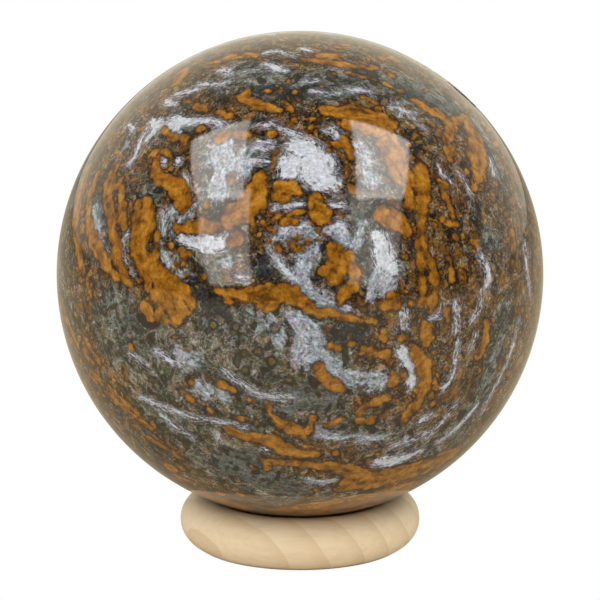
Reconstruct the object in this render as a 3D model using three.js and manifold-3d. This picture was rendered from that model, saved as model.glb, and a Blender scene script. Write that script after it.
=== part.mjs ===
// Decorative stone sphere resting on a turned wooden ring stand.
// Millimetres, +Z up. The origin is the centre of the ring's flat base.
import * as THREE from "three";
import { mergeVertices } from "three/addons/utils/BufferGeometryUtils.js";
import Module from "manifold-3d";

// Driving dimensions.
const BALL_DIAMETER = 120;
const RING_DIAMETER = 60; // outside of the ring
const RING_THICKNESS = 12.6; // diameter of its round section
const BASE_SANDED_OFF = 0.3; // taken off the round section so that it stands flat
const SEAT_GAP = 0.3; // clearance kept between the ball and the ring

// How finely the round surfaces are divided.
const BALL_MERIDIANS = 72;
const BALL_PARALLELS = 36;
const RING_STEPS = 80;
const SECTION_STEPS = 24;
const HOLLOW_STEPS = 20;

// Sizes that follow from them.
const BALL_RADIUS = BALL_DIAMETER / 2;
const SECTION_RADIUS = RING_THICKNESS / 2;
const SECTION_CENTRE_RADIUS = RING_DIAMETER / 2 - SECTION_RADIUS;
const SECTION_CENTRE_HEIGHT = SECTION_RADIUS - BASE_SANDED_OFF;
const BALL_HEIGHT = SECTION_CENTRE_HEIGHT
  + Math.sqrt((BALL_RADIUS + SEAT_GAP + SECTION_RADIUS) ** 2 - SECTION_CENTRE_RADIUS ** 2);

// Natural faults in the stone, near its right-hand upper edge: a chipped vug with a steep
// rim, and beside it a shallow flat left where the surface tore out before polishing.
// Longitude runs from +X towards +Y; turn is the long axis from north towards +Y.
const HOLLOWS = [
  { longitude: 2, latitude: 48, turn: 10, length: 11, width: 7, depth: 1.1 },
  { longitude: 6, latitude: 59, turn: 12, length: 15, width: 11, depth: 0.5 },
];

const manifold = await Module();
manifold.setup();

// A closed three.js geometry as a solid that can be cut.
function solidFrom(geometry) {
  const bare = geometry.clone();
  bare.deleteAttribute("normal");
  bare.deleteAttribute("uv");
  const merged = mergeVertices(bare);
  return new manifold.Manifold(new manifold.Mesh({
    numProp: 3,
    vertProperties: new Float32Array(merged.attributes.position.array),
    triVerts: new Uint32Array(merged.index.array),
  }));
}

// The cut solid as a three.js geometry again.
function geometryFrom(solid) {
  const mesh = solid.getMesh();
  const geometry = new THREE.BufferGeometry();
  geometry.setAttribute("position", new THREE.BufferAttribute(mesh.vertProperties, 3));
  geometry.setIndex(new THREE.BufferAttribute(mesh.triVerts, 1));
  geometry.computeVertexNormals();
  return geometry;
}

// An ellipsoid sunk into the ball's surface: what one natural hollow takes away.
function hollowTool({ longitude, latitude, turn, length, width, depth }) {
  const tool = new THREE.SphereGeometry(1, HOLLOW_STEPS, HOLLOW_STEPS / 2);
  tool.scale(depth, width / 2, length / 2); // depth along X, long axis along Z
  tool.rotateX(THREE.MathUtils.degToRad(-turn));
  tool.translate(BALL_RADIUS, 0, 0);
  tool.rotateY(THREE.MathUtils.degToRad(-latitude));
  tool.rotateZ(THREE.MathUtils.degToRad(longitude));
  return tool;
}

// The ground and polished ball, its poles on Z, with its natural hollows.
function stoneSphere() {
  const round = new THREE.SphereGeometry(BALL_RADIUS, BALL_MERIDIANS, BALL_PARALLELS);
  round.rotateX(Math.PI / 2);
  const cut = HOLLOWS.reduce(
    (solid, hollow) => solid.subtract(solidFrom(hollowTool(hollow))),
    solidFrom(round),
  );
  const stone = new THREE.MeshStandardMaterial({ color: 0x6d5a3c, roughness: 0.08, metalness: 0 });
  const mesh = new THREE.Mesh(geometryFrom(cut), stone);
  mesh.name = "stone_sphere";
  mesh.position.z = BALL_HEIGHT;
  return mesh;
}

// The turned ring: a round section with its underside sanded flat, swept round Z.
function ringStand() {
  const flatHalfAngle = Math.acos(SECTION_CENTRE_HEIGHT / SECTION_RADIUS);
  const first = -Math.PI / 2 + flatHalfAngle;
  const sweep = 2 * (Math.PI - flatHalfAngle);
  const profile = [];
  for (let i = 0; i <= SECTION_STEPS; i += 1) {
    const angle = first + (sweep * i) / SECTION_STEPS;
    profile.push(new THREE.Vector2(
      SECTION_CENTRE_RADIUS + SECTION_RADIUS * Math.cos(angle),
      SECTION_CENTRE_HEIGHT + SECTION_RADIUS * Math.sin(angle),
    ));
  }
  profile.push(profile[0].clone());
  const turned = new THREE.LatheGeometry(profile, RING_STEPS);
  turned.rotateX(Math.PI / 2);
  const wood = new THREE.MeshStandardMaterial({ color: 0xdcc397, roughness: 0.6, metalness: 0 });
  const mesh = new THREE.Mesh(turned, wood);
  mesh.name = "ring_stand";
  return mesh;
}

const decorativeSphere = new THREE.Group();
decorativeSphere.add(stoneSphere(), ringStand());

export default decorativeSphere;
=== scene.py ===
"""A ground and polished ball of orb stone, resting on a small turned ring of pale wood."""

import math

import bpy
import numpy as np
from mathutils import Matrix, Vector


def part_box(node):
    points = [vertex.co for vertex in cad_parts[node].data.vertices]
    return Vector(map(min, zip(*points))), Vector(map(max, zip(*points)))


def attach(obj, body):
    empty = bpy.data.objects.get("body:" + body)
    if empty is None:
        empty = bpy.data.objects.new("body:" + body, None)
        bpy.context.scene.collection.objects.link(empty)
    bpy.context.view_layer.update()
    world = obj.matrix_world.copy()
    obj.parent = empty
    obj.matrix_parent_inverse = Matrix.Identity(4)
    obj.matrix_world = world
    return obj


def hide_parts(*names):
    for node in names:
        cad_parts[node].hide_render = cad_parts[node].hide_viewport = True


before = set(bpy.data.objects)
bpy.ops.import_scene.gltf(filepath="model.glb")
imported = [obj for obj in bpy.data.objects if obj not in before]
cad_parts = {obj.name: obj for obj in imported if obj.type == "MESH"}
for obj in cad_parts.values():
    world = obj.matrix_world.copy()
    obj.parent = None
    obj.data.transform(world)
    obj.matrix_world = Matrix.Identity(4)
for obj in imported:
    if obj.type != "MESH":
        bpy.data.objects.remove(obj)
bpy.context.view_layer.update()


# ---- Camera ----------------------------------------------------------------------------------
# A long lens a little above the ball's middle, so that the ball shows almost as its true circle
# and the front of the ring stand shows below it. It aims just under the ball's middle.
MM = 0.001
ball_low, ball_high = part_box("stone_sphere")
ball_centre = (Vector(ball_low) + Vector(ball_high)) / 2
ball_radius = (ball_high[0] - ball_low[0]) / 2
view_up_tilt = math.radians(12)
view_distance = 0.8
aim_below_middle = 6.33 * MM
ball_share_of_frame = 0.8113

towards_camera = Vector((0, -math.cos(view_up_tilt), math.sin(view_up_tilt)))
view_up = Vector((0, math.sin(view_up_tilt), math.cos(view_up_tilt)))
lens_angle = math.asin(ball_radius / view_distance)
camera_data = bpy.data.cameras.new("camera")
camera_data.sensor_width = 36
camera_data.lens = camera_data.sensor_width * ball_share_of_frame / (2 * math.tan(lens_angle))
camera_data.clip_start = 0.05
camera_data.clip_end = 50
camera = bpy.data.objects.new("camera", camera_data)
bpy.context.collection.objects.link(camera)
camera.location = ball_centre + towards_camera * view_distance
aim = ball_centre - view_up * aim_below_middle - camera.location
camera.rotation_mode = "QUATERNION"
camera.rotation_quaternion = aim.to_track_quat("-Z", "Y")
bpy.context.scene.camera = camera


# ---- Floor and studio light ------------------------------------------------------------------
# A white table sweep in a light tent, with two overhead softboxes, left and right of the camera,
# each above a dimmer front panel. The tent is white behind, dimmer overhead and darkest in front.
ring_low, ring_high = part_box("ring_stand")
softbox_warmth = (1.0, 0.96, 0.90)
floor_reach = 3.0
floor_paper = (0.82, 0.80, 0.76, 1)
floor_in_polish = (0.42, 0.36, 0.25, 1)
lit_floor_radius = (ring_high[0] - ring_low[0]) / 2 - 4 * MM
tent_fill = 0.9
tent_behind = 1.0
tent_front = 0.10
tent_roof = 0.45
tent_white = (1, 1, 1, 1)
tent_in_polish = (1.0, 0.91, 0.71, 1)


def feed(socket, value):
    """Plugs another node's output into a socket, or sets the socket to a plain value."""
    if isinstance(value, bpy.types.NodeSocket):
        socket.id_data.links.new(value, socket)
    else:
        socket.default_value = value


def softbox(name, middle, across, along, brightness):
    """A rectangular light: its middle from the ball's, and its width and length as vectors."""
    across, along = Vector(across), Vector(along)
    panel = bpy.data.lights.new(name, "AREA")
    panel.shape = "RECTANGLE"
    panel.size = across.length
    panel.size_y = along.length
    panel.color = softbox_warmth
    panel.energy = brightness * math.pi * across.length * along.length
    lamp = bpy.data.objects.new(name, panel)
    bpy.context.collection.objects.link(lamp)
    wide = across.normalized()
    facing = wide.cross(along).normalized()
    turn = Matrix((wide, facing.cross(wide), facing)).transposed().to_4x4()
    lamp.matrix_world = Matrix.Translation(ball_centre + Vector(middle)) @ turn
    lamp.visible_camera = False


def bare_material(name):
    """A material with no nodes in it yet."""
    made = bpy.data.materials.new(name)
    made.use_nodes = True
    made.node_tree.nodes.clear()
    return made


def node(kind, **settings):
    """Adds a shader node to the tree in hand."""
    made = tree.nodes.new(kind)
    for name, value in settings.items():
        setattr(made, name, value)
    return made


def calc(operation, *values):
    """One arithmetic step."""
    made = node("ShaderNodeMath", operation=operation)
    for socket, value in zip(made.inputs, values):
        feed(socket, value)
    return made.outputs[0]


def times(first, second):
    """One value times another."""
    return calc("MULTIPLY", first, second)


def ease(value, low, high, start=0.0, end=1.0):
    """Eases from start to end while the value goes from low to high."""
    made = node("ShaderNodeMapRange", interpolation_type="SMOOTHSTEP")
    feed(made.inputs["Value"], value)
    feed(made.inputs["From Min"], low)
    feed(made.inputs["From Max"], high)
    feed(made.inputs["To Min"], start)
    feed(made.inputs["To Max"], end)
    return made.outputs[0]


def level(amount, first, second):
    """A number between two numbers."""
    made = node("ShaderNodeMix")
    feed(made.inputs["Factor"], amount)
    feed(made.inputs["A"], first)
    feed(made.inputs["B"], second)
    return made.outputs["Result"]


def dye(amount, first, second, way="MIX"):
    """Mixes two colours."""
    made = node("ShaderNodeMix", data_type="RGBA", blend_type=way)
    feed(made.inputs[0], amount)
    feed(made.inputs[6], first)
    feed(made.inputs[7], second)
    return made.outputs[2]


for side, name, upper, lower in ((-1, "left", 4.7, 2.9), (1, "right", 5.6, 1.8)):
    softbox(f"overhead_softbox_{name}", (0.565 * side, -0.25, 0.785), (0.49, 0.09 * side, 0.10 * side),
            (-0.13 * side, 0.58, 0.15), upper)
    softbox(f"front_panel_{name}", (0.56 * side, -0.725, 0.385), (0.39, 0.114 * side, -0.04 * side),
            (-0.093 * side, 0.52, 0.535), lower)

floor_mesh = bpy.data.meshes.new("floor")
floor_mesh.from_pydata(
    [(-floor_reach, -floor_reach, 0), (floor_reach, -floor_reach, 0),
     (floor_reach, floor_reach, 0), (-floor_reach, floor_reach, 0)],
    [], [(0, 1, 2, 3)])
floor = bpy.data.objects.new("floor", floor_mesh)
bpy.context.collection.objects.link(floor)

# the paper burns out to plain white, except close under the ring
white_sweep = bare_material("white_sweep")
tree = white_sweep.node_tree
rays = node("ShaderNodeLightPath")
paper = node("ShaderNodeBsdfDiffuse")
feed(paper.inputs["Color"], dye(rays.outputs["Is Glossy Ray"], floor_paper, floor_in_polish))
from_middle = node("ShaderNodeVectorMath", operation="LENGTH")
feed(from_middle.inputs[0], node("ShaderNodeTexCoord").outputs["Object"])
past_the_ring = calc("GREATER_THAN", from_middle.outputs["Value"], lit_floor_radius)
burnt_out = node("ShaderNodeMixShader")
feed(burnt_out.inputs[0], times(rays.outputs["Is Camera Ray"], past_the_ring))
feed(burnt_out.inputs[1], paper.outputs[0])
feed(burnt_out.inputs[2], node("ShaderNodeEmission").outputs[0])
sweep_out = node("ShaderNodeOutputMaterial")
feed(sweep_out.inputs["Surface"], burnt_out.outputs[0])
floor_mesh.materials.append(white_sweep)

# an even fill on the object, the tent's own shape in its polish, and plain white behind it
tent = bpy.data.worlds.new("light_tent")
tent.use_nodes = True
bpy.context.scene.world = tent
tree = tent.node_tree
tree.nodes.clear()
rays = node("ShaderNodeLightPath")
towards = node("ShaderNodeSeparateXYZ")
feed(towards.inputs[0], node("ShaderNodeTexCoord").outputs["Generated"])
walls = ease(towards.outputs["Y"], -0.2, 0.72, tent_front, tent_behind)
roof = ease(towards.outputs["Z"], 0.35, 0.95, 1.0, tent_roof)
strength = level(rays.outputs["Is Glossy Ray"], tent_fill, times(walls, roof))
strength = level(rays.outputs["Is Camera Ray"], strength, 1.0)
tent_light = node("ShaderNodeBackground")
feed(tent_light.inputs["Color"], dye(rays.outputs["Is Glossy Ray"], tent_white, tent_in_polish))
feed(tent_light.inputs["Strength"], strength)
tent_out = node("ShaderNodeOutputWorld")
feed(tent_out.inputs["Surface"], tent_light.outputs["Background"])
bpy.context.scene.view_settings.view_transform = "Standard"


# ---- The stone ball: its body ----------------------------------------------------------------
# One solid ball of orbicular chalcedony, ground and polished. A vug with a torn edge and a
# shallow flat that the polishing didn't reach are left high on its right-hand side.
cuts_per_side = 128
radius_mm = ball_radius / MM
vugs = (
    {"longitude": 92, "latitude": 48, "turn": 10, "length": 11, "width": 7, "depth": 1.1, "torn": 1.0},
    {"longitude": 96, "latitude": 59, "turn": 12, "length": 15, "width": 11, "depth": 0.5, "torn": 0.0},
)


def facing_out(longitude, latitude):
    """Unit vectors from the ball's middle. Longitude 0 is the front and grows to the right."""
    longitude, latitude = np.radians(longitude), np.radians(latitude)
    return np.stack([np.sin(longitude) * np.cos(latitude),
                     -np.cos(longitude) * np.cos(latitude),
                     np.sin(latitude) * np.ones_like(longitude)], axis=-1)


def ball_lattice(cuts):
    """A cube's surface grid swelled to a ball: unit vectors and four-sided faces."""
    steps = np.tan(np.linspace(-math.pi / 4, math.pi / 4, cuts + 1))
    grid = np.arange(cuts + 1)
    across, along = np.meshgrid(grid, grid, indexing="ij")
    corners, faces = [], []
    for axis in range(3):
        for end in (0, cuts):
            lattice = np.zeros((cuts + 1, cuts + 1, 3), int)
            lattice[..., axis] = end
            lattice[..., (axis + 1) % 3] = across
            lattice[..., (axis + 2) % 3] = along
            first = len(corners) * (cuts + 1) ** 2
            number = first + across * (cuts + 1) + along
            quads = np.stack([number[:-1, :-1], number[1:, :-1], number[1:, 1:], number[:-1, 1:]], -1)
            quads = quads.reshape(-1, 4)
            faces.append(quads if end else quads[:, ::-1])
            corners.append(lattice.reshape(-1, 3))
    corners = np.concatenate(corners)
    unique, same = np.unique(corners, axis=0, return_inverse=True)
    places = steps[unique]
    places = places / np.linalg.norm(places, axis=1, keepdims=True)
    return places, same.reshape(-1)[np.concatenate(faces)]


skin, skin_faces = ball_lattice(cuts_per_side)
surface = skin * radius_mm
sunk = np.zeros(len(skin))
dull = np.zeros(len(skin))
for vug in vugs:
    middle = facing_out(vug["longitude"], vug["latitude"])
    north = np.array([0, 0, 1.0]) - middle * middle[2]
    north = north / np.linalg.norm(north)
    east = np.cross(north, middle)
    turned = math.radians(vug["turn"])
    long_way = north * math.cos(turned) + east * math.sin(turned)
    wide_way = np.cross(middle, long_way)
    along = surface @ long_way / (vug["length"] / 2)
    aside = surface @ wide_way / (vug["width"] / 2)
    inside = np.clip(1 - along ** 2 - aside ** 2, 0, 1) * (skin @ middle > 0)
    sunk = np.maximum(sunk, vug["depth"] * np.sqrt(inside))
    dull = np.maximum(dull, vug["torn"] * np.minimum(inside * 4, 1))
ripple = np.sin(surface[:, 1] * 3.1 + 2 * np.sin(surface[:, 2] * 2.3))
torn = 0.5 + 0.5 * ripple * np.sin(surface[:, 2] * 2.7)
surface = surface * (1 - (sunk * (0.75 + 0.25 * torn) / radius_mm))[:, None]

ball_mesh = bpy.data.meshes.new("polished_ball")
ball_mesh.from_pydata(surface * MM + np.array(ball_centre), [], skin_faces.tolist())
ball_mesh.shade_smooth()
ball = bpy.data.objects.new("polished_ball", ball_mesh)
bpy.context.collection.objects.link(ball)


# ---- The stone ball: where its minerals lie --------------------------------------------------
# The stone grew in curved layers of ochre, white, clear grey and dark iron-stained mineral round
# one swirl, a little right of the ball's front. A vein is (longitude, latitude, half width in mm)
# along its middle, and a single place is a lump. The back's ochre and white come from noise.
swirl_heart = (4, 20)
swirl_stretch = 14.0
vein_step = 0.5
grain_stretch = 3.5
grain_apart = 3.7

ochre_veins = (
    # left-hand bands and the big left body with its lobe
    ((-76, 28, 2.4), (-73, 23, 2.6), (-70.5, 18, 2.4), (-67, 14, 1.8), (-63.5, 11, 1.5),
     (-61, 8, 1.4), (-59.5, 6.5, 1.0)),
    ((-58, 6.5, 0.7), (-57, 4, 0.8), (-56, 2.5, 1.1)),
    ((-54, 2.8, 1.0),),
    ((-67, 29, 1.2), (-66, 24.5, 1.5), (-63.5, 20, 1.5), (-61, 17, 1.7), (-57.5, 14.5, 2.1),
     (-53.5, 12, 2.1), (-50.5, 10, 1.5), (-47.5, 8.5, 1.3), (-44, 7.6, 1.3), (-41.7, 6.8, 1.4)),
    ((-59.5, 31.5, 2.0), (-57.5, 26.5, 2.3), (-55.5, 23.5, 2.0), (-52.5, 20.5, 1.7),
     (-50.3, 17.5, 1.5), (-48.3, 15.3, 1.6), (-47.2, 12.8, 2.0), (-45.5, 10.3, 1.8), (-43.7, 9.4, 1.0)),
    ((-53.5, 28.5, 1.0), (-50.5, 25, 1.3), (-48.7, 21.8, 1.4), (-46.6, 19.3, 1.2)),
    ((-41.5, 23.3, 3.6), (-40.6, 20, 3.8), (-41, 16.8, 2.9), (-39.5, 13.8, 3.0), (-37.3, 11.8, 3.2),
     (-34, 8.8, 4.0), (-31.3, 6.6, 4.6), (-28.3, 5.2, 4.2), (-26, 4, 2.8)),
    ((-35.6, 18.5, 0.9), (-35.4, 15.5, 0.9), (-35, 13, 1.2)),
    ((-31, 2.8, 2.8), (-32, 0.8, 2.2)),
    ((-27.5, 2, 1.8), (-29, 0.6, 1.6)),
    ((-36.6, 2.2, 1.7), (-35.8, 0.6, 1.4)),
    ((-31.2, 21.8, 0.5), (-30, 19.8, 0.6)),
    # the band that sags under the middle
    ((-19.5, 8, 0.7), (-16, 7.6, 1.1), (-12.5, 7, 1.5), (-9, 7.4, 1.9), (-5, 8, 2.2), (-2, 7.4, 2.1),
     (1, 5.6, 1.5), (4, 3.9, 1.2), (8, 2.9, 1.0), (12, 2, 1.0), (16.5, 1.5, 0.9)),
    ((-17, 5.8, 0.6), (-15, 5.4, 0.7)),
    ((-8.5, 5.5, 1.5), (-6, 5.2, 1.4)),
    ((18.5, 4.3, 1.3), (21, 5.2, 2.1)),
    # upright bands on the right
    ((35, 35, 1.5), (34.5, 32.5, 2.1), (33.2, 29.5, 2.0), (31.8, 26, 1.5), (30.4, 22.5, 1.3),
     (29.2, 19, 1.2), (28.6, 15, 1.2), (28.4, 10, 1.2), (28.4, 5, 1.1), (28.4, 3, 0.7)),
    ((29.8, 17, 0.8), (31, 14, 1.1), (31.7, 10.5, 1.3), (31.6, 7, 1.3), (31, 4, 1.0), (30.3, 2, 0.6)),
    ((30.3, 33.5, 1.0), (30.5, 31, 1.0)),
    ((29, -1.5, 1.7), (29.5, -4, 1.8)),
    ((26, -5.5, 0.9), (27.5, -8, 1.9), (29.5, -11.5, 2.3), (30.5, -14.5, 1.9), (30, -17.5, 1.5),
     (28.5, -20.5, 1.5), (26.5, -23.5, 1.3)),
    # the arc at the upper right and the body below it
    ((9, 51.5, 1.4), (14, 50.5, 2.0), (20, 50.5, 2.5), (26, 49, 2.2), (31, 46.5, 1.5)),
    ((16.5, 47.3, 2.0), (21.5, 46.8, 3.0), (26.5, 44.8, 3.0)),
    ((25, 41, 1.6), (26, 37, 1.8), (26.3, 33, 1.4)),
    ((27.3, 42.5, 2.8), (28.8, 39, 2.4), (29.2, 35, 1.6), (28.9, 30.5, 1.3), (28, 26, 1.2)),
    ((20.5, 24.5, 2.4), (24, 22.5, 2.6), (26, 20.5, 1.5)),
    ((47.5, 51.7, 1.2), (50.5, 49.3, 1.7), (54, 46.7, 1.7), (56.5, 44.7, 1.8), (60, 44.4, 1.4),
     (65, 44.5, 1.4)),
    ((54, 42.8, 2.0), (51.3, 41.2, 1.8)),
    ((49, 40.5, 1.2), (47.5, 38, 1.6), (46.5, 36, 1.4)),
    ((67, 43.5, 2.4), (65, 40.5, 3.0), (62, 37.3, 3.3), (58.3, 34.3, 3.3), (55.3, 31.5, 2.6),
     (53.5, 29.7, 1.7)),
    ((25, 64, 0.6), (31, 62.3, 0.7), (37, 60.3, 0.7), (41.5, 57.7, 0.7), (45, 55.3, 0.6)),
    ((26, 55, 0.7), (29.5, 52.7, 0.6)),
    ((15, 72, 1.4), (20, 71.3, 2.2), (25, 71, 1.6)),
    ((2, 70.4, 0.9), (12, 69.3, 1.2), (22, 68, 1.3), (32, 66.3, 1.2), (41, 64.7, 1.0)),
    # upper left
    ((-24, 55.3, 1.1), (-20, 54, 1.6), (-15, 53, 1.6), (-10.5, 52.2, 1.3), (-7.7, 51.4, 0.8)),
    ((-22.3, 58, 0.6), (-22, 56, 0.9)),
    ((-14, 57.5, 0.9),),
    ((-2, 57.3, 0.8),),
    ((-29.5, 50, 0.8), (-26.5, 49.3, 1.0), (-24.5, 49, 0.9)),
    ((-40, 51, 1.0), (-35, 50.5, 0.9)),
    ((-33.5, 45, 1.3),),
    ((-48, 43.3, 0.9), (-45.7, 42.7, 1.0)),
    ((-42, 41.6, 1.4),),
    ((-37, 42, 1.5), (-36, 39.5, 1.4)),
    ((-47, 36.5, 0.8), (-44, 38, 0.9), (-40, 37, 0.9), (-38, 35.5, 0.7)),
    ((-43.5, 35.5, 1.3), (-42, 32.5, 1.5), (-38.5, 31, 1.7), (-34.5, 30.5, 2.4), (-31.5, 28.5, 2.6),
     (-30, 26, 1.8)),
    ((-70, 60, 2.4), (-64, 57, 2.0)),
    ((-60, 65.5, 1.4), (-52, 68.5, 1.7), (-42, 70.7, 1.8), (-34, 71.7, 1.2)),
    # middle, above the sagging band
    ((-10.5, 33.5, 1.8), (-11, 30.5, 3.0), (-12.5, 27.5, 3.3), (-15.5, 25, 3.0), (-18, 24, 1.6)),
    ((-29.7, 20.7, 1.0), (-27, 21.2, 1.7), (-23.5, 21.8, 2.0), (-21, 22.2, 1.6)),
    ((-24, 26.5, 1.0),),
    ((-18.3, 33, 1.2),),
    ((-25, 43, 1.6), (-20, 44.5, 1.4), (-17, 44, 1.4)),
    ((-14.5, 20, 1.5), (-16.5, 18.3, 1.0)),
    ((-16.8, 22, 0.9),),
    ((-31.3, 16.5, 0.8),),
    ((-29, 15.6, 0.8), (-26.5, 15.2, 0.9)),
    ((-22, 10.5, 1.0),),
    ((-7, 40.2, 0.8), (-7.2, 38.4, 0.9), (-7.4, 36.5, 0.8)),
    ((-5, 31.5, 1.8), (-2, 31.3, 1.8), (0, 30, 0.9)),
    ((-6.5, 29.3, 1.2), (-3.5, 28.7, 1.2)),
    ((3.7, 29.3, 1.1),),
    ((4.2, 27, 2.0), (5.2, 25.2, 2.4)),
    ((6.3, 23.6, 1.2),),
    ((-5, 25, 0.9),),
    ((-2.5, 25, 0.7), (0.5, 26, 0.7)),
    ((-4, 23.5, 0.8), (-1, 23.8, 0.7)),
    ((-6.8, 21.8, 1.2),),
    ((-9, 23.5, 0.7),),
    ((-11, 23, 0.8),),
    ((-1.8, 18.8, 1.3),),
    ((0.3, 17.8, 1.0),),
    ((1.8, 19, 0.7),),
    ((11, 41.5, 1.2), (13.5, 42, 1.2), (14, 39, 1.3)),
    ((13.5, 30.8, 1.4),),
    ((3.2, 46.5, 0.9),),
    ((8, 47, 0.8),),
    ((-8.5, 44.5, 1.3),),
    ((-3.3, 47.5, 0.8),),
    ((7.5, 17.8, 1.6), (8.5, 15, 2.8), (8, 12.5, 2.8)),
    ((11, 16, 1.4), (12, 12, 1.6), (11.5, 9, 1.6), (9.3, 7.2, 1.5), (9.3, 5.8, 0.9)),
    ((5.3, 12.6, 1.4),),
    # lower right: rods and small lumps
    ((4, -9.3, 1.5), (5, -11.3, 1.6), (7.5, -13, 1.6), (9.3, -14, 1.2)),
    ((14.5, -20.3, 1.1), (16.5, -18.7, 1.3), (19, -17.5, 1.5), (20.3, -16.8, 1.2)),
    ((14.3, -23, 1.1), (17, -23, 1.3)),
    ((6.7, -4.2, 0.8), (8.5, -4.5, 0.7)),
    ((11.2, -4, 1.1),),
    ((14.5, -5, 0.8), (16.5, -6, 0.9), (19.3, -7, 1.4)),
    ((12, -6.5, 0.6), (14.5, -6.3, 0.6)),
    ((18.8, -1.5, 0.8), (18.8, -3, 0.8)),
    ((22.3, -3, 0.8), (24.5, -3, 0.8)),
    ((22, -13.3, 1.5),),
    ((24, -11.5, 1.2),),
    ((28.5, -16, 1.0),),
    ((25.3, 4.3, 1.0),),
    ((47, -3, 1.2), (47, -7, 1.5), (45.5, -10.5, 1.2)),
    # bottom bands
    ((-19, -25.5, 1.1), (-15.5, -27, 1.7), (-11, -27.5, 1.5), (-7, -28.5, 2.2), (-4, -30.8, 2.2),
     (0, -32.3, 1.6), (4, -32.8, 1.3)),
    ((-7, -20.7, 0.7), (-5, -23, 1.4), (-2.5, -24, 2.0), (0, -26, 1.2), (1, -27.5, 0.8)),
    ((1.5, -26, 0.8), (2.5, -24, 0.8), (3.5, -21.3, 1.2)),
    ((6.5, -24, 0.8), (8.5, -23, 0.9), (10, -22, 0.8)),
    ((-9.5, -35.3, 1.1), (-4, -35.5, 1.3), (3, -36.2, 1.5), (8.5, -37.2, 1.9), (14, -39, 2.4),
     (18, -42, 3.5), (16, -46, 3.2)),
    ((20, -44, 4.0), (28, -44, 4.5), (36, -43, 4.5), (44, -42, 4.0), (52, -40, 3.5)),
    ((-12, -60, 2.0), (-4, -59, 3.0), (6, -58, 4.5), (18, -56, 5.0), (30, -54, 4.5), (44, -52, 4.0)),
    ((-52, -56, 3.0), (-40, -58, 3.5), (-28, -60, 3.0)),
    ((-46, -47, 1.6), (-40, -48.5, 1.4)),
    ((-10, -66, 3.0), (10, -66, 4.0), (40, -64, 4.0), (-40, -67, 3.0)),
    ((-13.5, -38.3, 1.0),),
    ((-9.5, -37.6, 0.8),),
    ((9.9, -32.5, 1.0),),
    ((6, -47, 1.0),),
    ((-22, -51, 1.5),),
    ((-31, -51.5, 1.6),),
    # lower left, along the edge
    ((-62.5, -12.5, 1.2), (-59, -14.5, 1.1)),
    ((-60, -17.3, 1.1), (-57, -19.5, 1.4)),
    ((-56.5, -21.5, 1.2), (-53, -23.3, 1.3)),
    ((-53.5, -20.3, 1.1), (-50.5, -22, 1.2)),
    ((-51, -24.5, 1.2), (-47.5, -26.5, 1.3)),
    ((-48.5, -23.2, 1.1), (-45.5, -25, 1.2)),
    ((-46, -27.8, 1.1), (-43.2, -28.8, 1.1)),
    ((-41, -27.7, 1.2),),
    ((-46, -33, 1.0), (-43, -34, 1.1)),
    ((-41, -35, 1.1), (-38.5, -36.3, 1.1), (-36, -37.7, 1.1)),
    ((-39.5, -41.5, 1.5),),
    ((-74, -3, 1.5), (-70, -8, 1.6), (-66, -12, 1.5)),
    ((-62, -7.5, 1.0), (-58, -11, 1.2), (-55, -13.5, 1.0)),
    ((-45.3, -13, 0.5), (-45, -16.5, 0.5)),
    ((-42, -7.5, 1.1),),
    ((-29, -16, 0.7), (-27.5, -17.3, 0.9)),
    ((-26.3, -18.7, 0.8),),
    ((-18.5, -13.6, 1.4), (-15.5, -14.8, 0.9)),
    ((-11.7, -17.3, 0.8),),
    ((-7.3, -18.5, 1.0),),
    ((-15.5, -22, 0.6), (-12.5, -21.8, 0.7)),
    ((-21.8, -21, 0.8),),
    # small ones between the others
    ((4.7, 49, 0.7),),
    ((13, 43.8, 0.6),),
    ((-6.5, 23.8, 0.6),),
    ((-4.8, 17.5, 0.8),),
    ((8.3, 40.5, 0.6),),
    ((10.5, -2.3, 0.6),),
    ((13, -8.3, 0.6),),
    ((21.5, -10.8, 0.7),),
    ((-5, -38.5, 0.8),),
    ((60, 68, 2.0),),
    ((70, 66, 2.0),),
    ((44, 65, 1.2),),
    ((18, 63.5, 0.8),),
    ((49, 61, 1.0),),
    ((39, 28, 0.7), (39.8, 25, 0.8), (39.8, 22.3, 0.8)),
    ((36.5, 22, 0.8),),
    ((38.3, 20.6, 0.9), (40.6, 20.5, 1.0)),
    ((40, 17.6, 1.0),),
    ((44.7, 26, 0.7), (45.2, 24.5, 0.6)),
    ((39.3, 30.7, 1.0), (41, 29.6, 1.0)),
    ((50.5, 28, 1.1),),
    ((36.6, 13, 0.7), (36.6, 8.5, 0.7)),
    ((39.6, 8.6, 0.8),),
    ((36, 4.6, 0.8),),
    ((34, 5.6, 0.8),),
    ((30.8, 18.6, 0.8),),
    ((34.8, 2.2, 0.7), (34.7, -0.5, 0.7)),
    ((60.5, 16, 1.3), (60, 12.5, 1.2)),
    ((33.8, -20.2, 0.9),),
    ((42, 2.5, 0.8),),
    ((-64, -4, 0.9),),
    ((-58, -1, 0.8),),
    ((-51, 0.2, 0.6),),
    ((-48.5, -0.8, 0.5),),
    ((-25.5, -14, 0.7),),
    ((-21.3, -12.4, 0.6),),
)

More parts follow.
